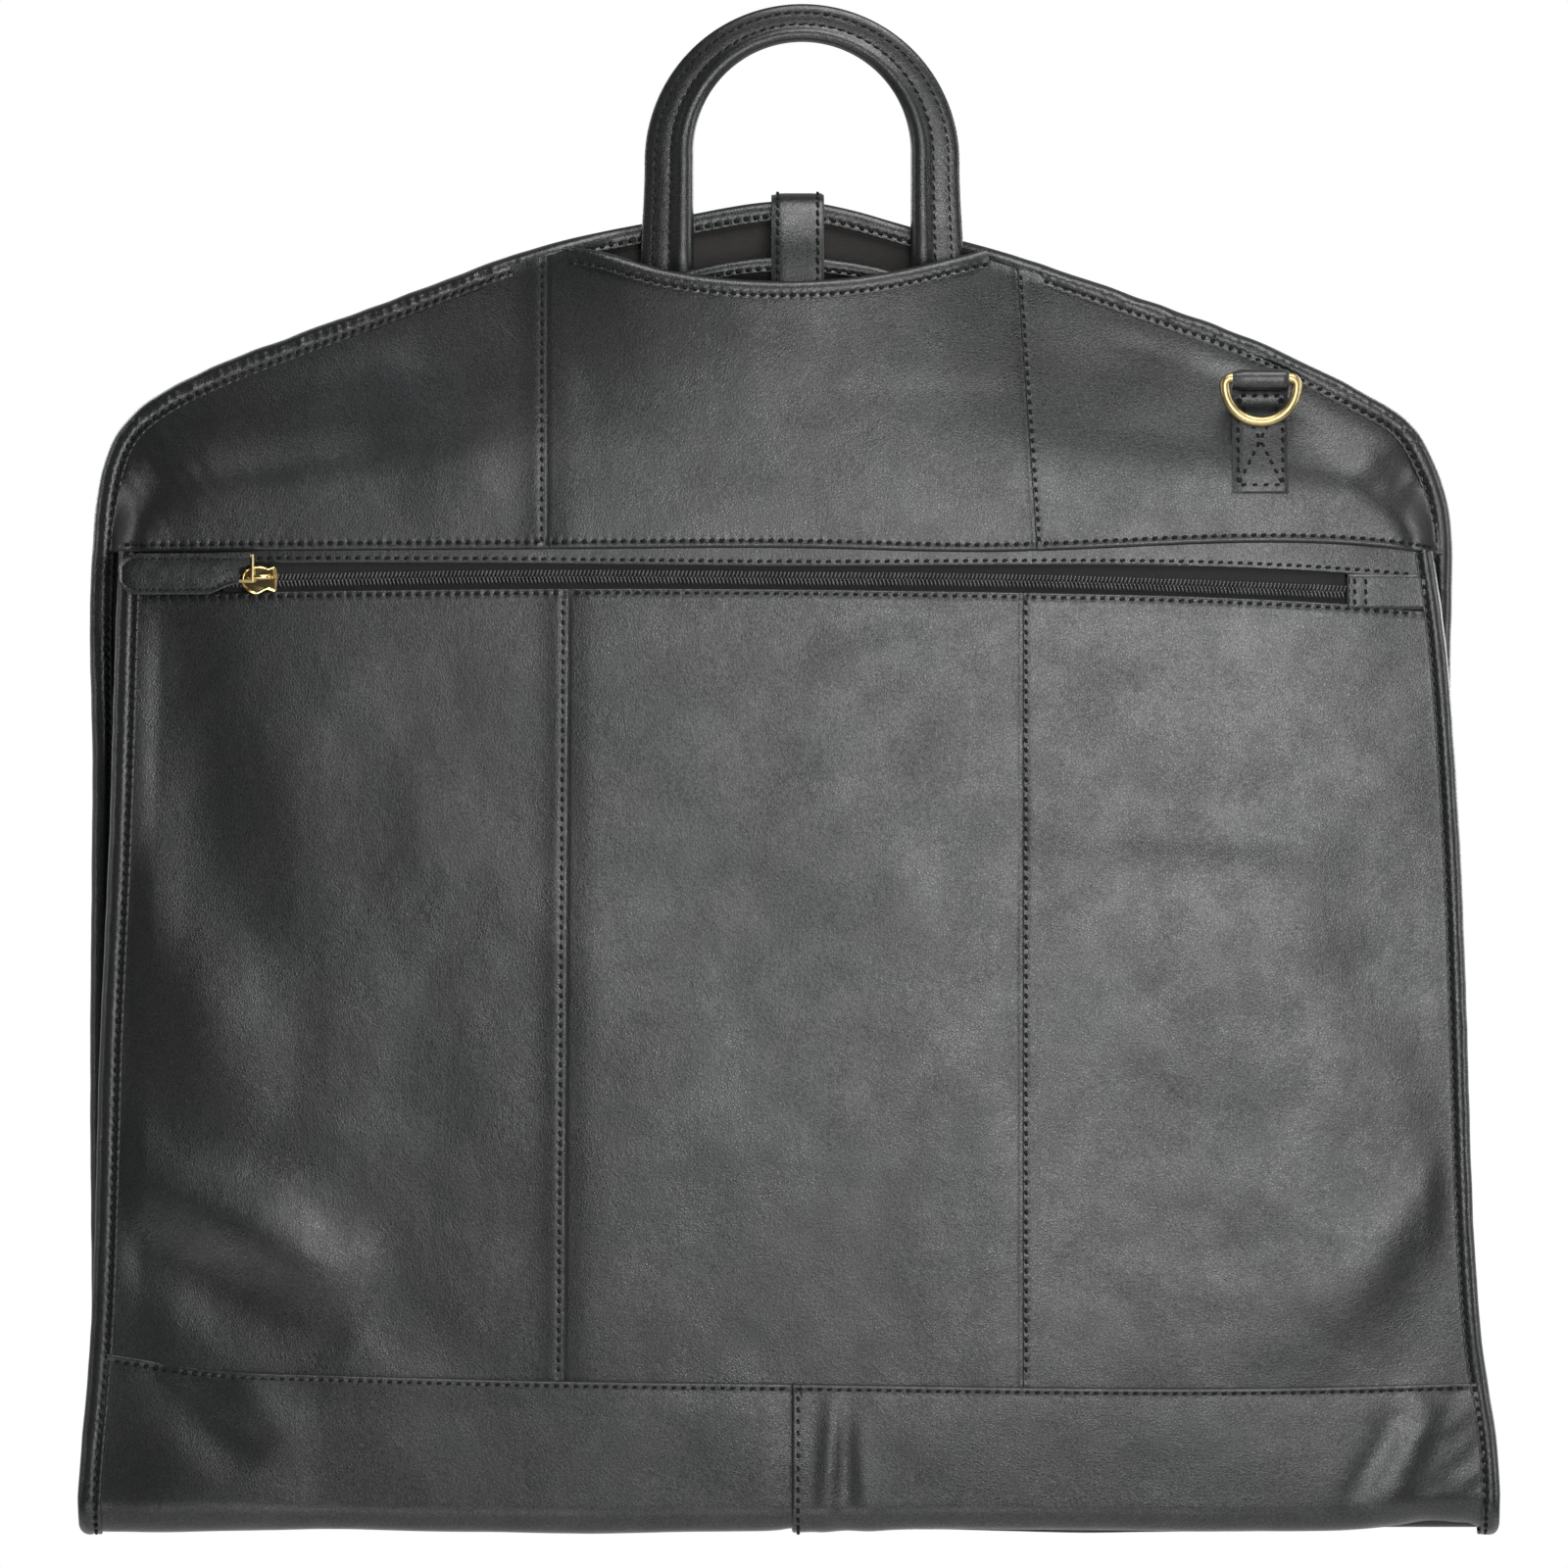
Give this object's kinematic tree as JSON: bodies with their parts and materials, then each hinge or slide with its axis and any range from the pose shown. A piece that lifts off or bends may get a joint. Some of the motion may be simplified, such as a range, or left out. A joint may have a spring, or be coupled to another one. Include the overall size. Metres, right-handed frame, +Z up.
{
  "type": "garment bag",
  "caption": "Leather suit carrier folded in half, with a rolled handle, a zipped front pocket and D-rings for a strap.",
  "frame": {"origin": "middle of the hand grip's underside, where the bag is held", "axes": "+X to the right seen from the pocket side, +Y to the bag's back, +Z up along the held bag"},
  "size_m": [0.5812, 0.051, 0.6264],
  "materials": {
    "leather": "semi-gloss black grained leather",
    "binding_leather": "semi-gloss black binding leather, puckered by its stitches",
    "lining": "dark woven lining",
    "inner_cloth": "black twill",
    "zip_tape": "black woven zip tape",
    "zip_coil": "black nylon coil",
    "core": "twisted paper cord",
    "brass": "pale polished brass"
  },
  "bodies": {
    "upper_half": {"back_panel": "leather", "back_lining": "lining", "outer_binding": "binding_leather", "yoke_left": "leather", "yoke_centre": "leather", "yoke_right": "leather", "mouth_binding": "binding_leather", "inner_front_left": "inner_cloth", "inner_front_right": "inner_cloth", "arch_binding": "binding_leather", "main_zip_tapes": "zip_tape", "main_zip_coil": "zip_coil", "handle_leg_left": "leather", "handle_leg_right": "leather", "closure_strap_front": "leather", "press_stud_post": "brass", "front_ring_tab": "leather", "back_ring_tab": "leather", "band_left_back": "leather", "band_right_back": "leather"},
    "handle": {"handle_core": "core", "handle_cover": "leather"},
    "closure_strap": {"closure_strap_tail": "leather", "press_stud_cap": "brass"},
    "main_zip": {"main_slider": "brass", "main_pull": "leather"},
    "front_ring": {"front_d_ring": "brass"},
    "back_ring": {"back_d_ring": "brass"},
    "fold": {"band_left_fold": "leather", "band_right_fold": "leather", "fold_binding": "binding_leather", "fold_lining": "lining"},
    "lower_half": {"band_left_front": "leather", "band_right_front": "leather", "pocket_panel_left": "leather", "pocket_panel_centre": "leather", "pocket_panel_right": "leather", "zip_facing": "leather", "pocket_zip_tapes": "zip_tape", "pocket_zip_coil": "zip_coil", "pocket_zip_end": "leather", "pocket_lining": "lining", "lower_front_left": "inner_cloth", "lower_front_right": "inner_cloth", "lower_zip_tapes": "zip_tape", "lower_zip_coil": "zip_coil", "lower_binding_left": "binding_leather", "lower_binding_right": "binding_leather", "lower_end": "binding_leather"},
    "zip_slider": {"pocket_slider": "brass"},
    "zip_pull": {"pull_wire": "brass", "pull_tab": "leather"}
  },
  "joints": [
    {"name": "handle_tilt", "type": "hinge", "parent": "upper_half", "child": "handle", "pos_m": [0, 0, -0.0873], "axis": [1, 0, 0], "range_deg": [0, 70]},
    {"name": "strap_lift", "type": "hinge", "parent": "upper_half", "child": "closure_strap", "pos_m": [-0.0018, 0.0114, -0.0626], "axis": [1, 0, 0], "range_deg": [0, 120]},
    {"name": "main_zip_slide", "type": "slide", "parent": "upper_half", "child": "main_zip", "axis": [0, 0, -1], "range_m": [0, 0.37]},
    {"name": "front_ring_swing", "type": "hinge", "parent": "upper_half", "child": "front_ring", "pos_m": [0.187, -0.03005, -0.1382], "axis": [-1, 0, 0], "range_deg": [0, 170]},
    {"name": "back_ring_swing", "type": "hinge", "parent": "upper_half", "child": "back_ring", "pos_m": [-0.2034, 0.01385, -0.1382], "axis": [1, 0, 0], "range_deg": [0, 170]},
    {"name": "fold_at_back", "type": "hinge", "parent": "upper_half", "child": "fold", "pos_m": [-0.0054, 0.007, -0.6064], "axis": [1, 0, 0], "range_deg": [0, 90]},
    {"name": "fold_at_front", "type": "hinge", "parent": "fold", "child": "lower_half", "pos_m": [-0.0054, -0.0218, -0.6064], "axis": [1, 0, 0], "range_deg": [0, 90]},
    {"name": "pocket_zip_slide", "type": "slide", "parent": "lower_half", "child": "zip_slider", "axis": [0.9999, 0, -0.0117], "range_m": [0, 0.435]},
    {"name": "pull_swing", "type": "hinge", "parent": "zip_slider", "child": "zip_pull", "pos_m": [-0.2242, -0.0276, -0.2158], "axis": [0, 0, 1], "range_deg": [0, 165]}
  ],
  "couplings": [
    {"joint": "fold_at_front", "follows": "fold_at_back", "ratio": 1}
  ]
}
